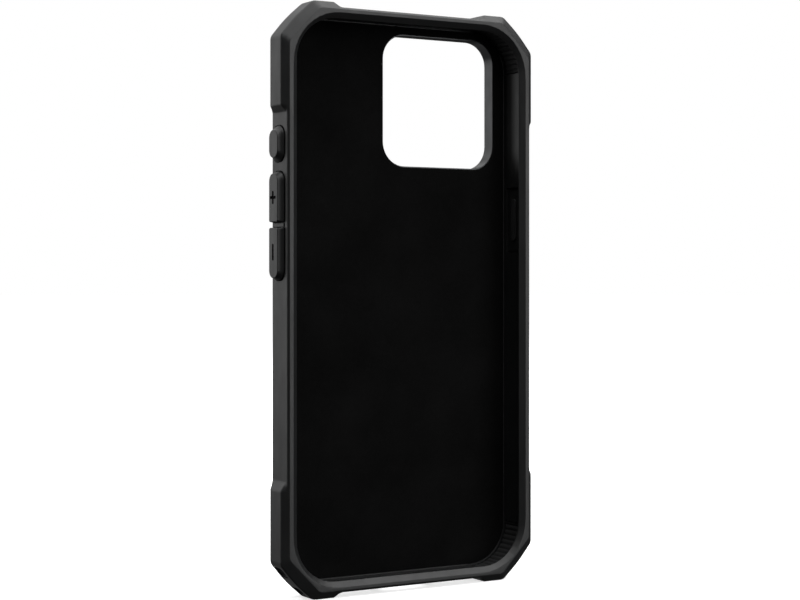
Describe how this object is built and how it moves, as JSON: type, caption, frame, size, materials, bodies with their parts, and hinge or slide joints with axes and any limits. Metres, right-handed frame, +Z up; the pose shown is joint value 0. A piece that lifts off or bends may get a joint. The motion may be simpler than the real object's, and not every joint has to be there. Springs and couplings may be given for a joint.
{
  "type": "phone case",
  "caption": "Rugged protective case for a phone: soft frame with raised lip and thick cut corners, stiff back with magnet ring, camera bezel and sprung key covers.",
  "frame": {"origin": "centre of the bounding box's base, on the surface the case stands on", "axes": "+Z up along the case's height, +X to the right as the open front is faced, +Y from the open front towards the back"},
  "size_m": [0.079, 0.0142, 0.1566],
  "materials": {
    "frame_tpu": "matte soft plastic, fine even texture",
    "key_tpu": "matte soft plastic",
    "cushion_rubber": "matte",
    "liner_microfibre": "short-pile lining",
    "shell_polycarbonate": "fine matte",
    "panel_textured": "fine woven texture",
    "ring_mark": "satin",
    "bezel_anodised": "dark anodised, fine blasted",
    "carrier_plastic": "moulded",
    "magnet_nickel": "nickel plated",
    "shunt_steel": "rolled"
  },
  "bodies": {
    "case": {"bumper_frame": "frame_tpu", "liner": "liner_microfibre", "magnet_carrier": "carrier_plastic", "shunt_ring": "shunt_steel", "alignment_magnet": "magnet_nickel", "back_shell": "shell_polycarbonate", "back_panel": "panel_textured", "ring_mark": "ring_mark", "camera_bezel": "bezel_anodised", "cushion_upper_left": "cushion_rubber", "cushion_upper_right": "cushion_rubber", "cushion_lower_left": "cushion_rubber", "cushion_lower_right": "cushion_rubber", "magnet_01": "magnet_nickel", "magnet_02": "magnet_nickel", "magnet_03": "magnet_nickel", "magnet_04": "magnet_nickel", "magnet_05": "magnet_nickel", "magnet_06": "magnet_nickel", "magnet_07": "magnet_nickel", "magnet_08": "magnet_nickel", "magnet_09": "magnet_nickel", "magnet_10": "magnet_nickel", "magnet_11": "magnet_nickel", "magnet_12": "magnet_nickel", "magnet_13": "magnet_nickel", "magnet_14": "magnet_nickel", "magnet_15": "magnet_nickel", "magnet_16": "magnet_nickel"},
    "action_button": {"action_key": "key_tpu", "action_pad": "cushion_rubber"},
    "volume_up_button": {"volume_up_key": "key_tpu", "volume_up_pad": "cushion_rubber"},
    "volume_down_button": {"volume_down_key": "key_tpu", "volume_down_pad": "cushion_rubber"},
    "side_button": {"side_key": "key_tpu", "side_pad": "cushion_rubber"}
  },
  "joints": [
    {"name": "action_press", "type": "slide", "parent": "case", "child": "action_button", "axis": [1, 0, 0], "range_m": [0, 0.0004], "stiffness_N_per_m": 2000},
    {"name": "volume_up_press", "type": "slide", "parent": "case", "child": "volume_up_button", "axis": [1, 0, 0], "range_m": [0, 0.0004], "stiffness_N_per_m": 2000},
    {"name": "volume_down_press", "type": "slide", "parent": "case", "child": "volume_down_button", "axis": [1, 0, 0], "range_m": [0, 0.0004], "stiffness_N_per_m": 2000},
    {"name": "side_press", "type": "slide", "parent": "case", "child": "side_button", "axis": [-1, 0, 0], "range_m": [0, 0.0004], "stiffness_N_per_m": 2000}
  ]
}
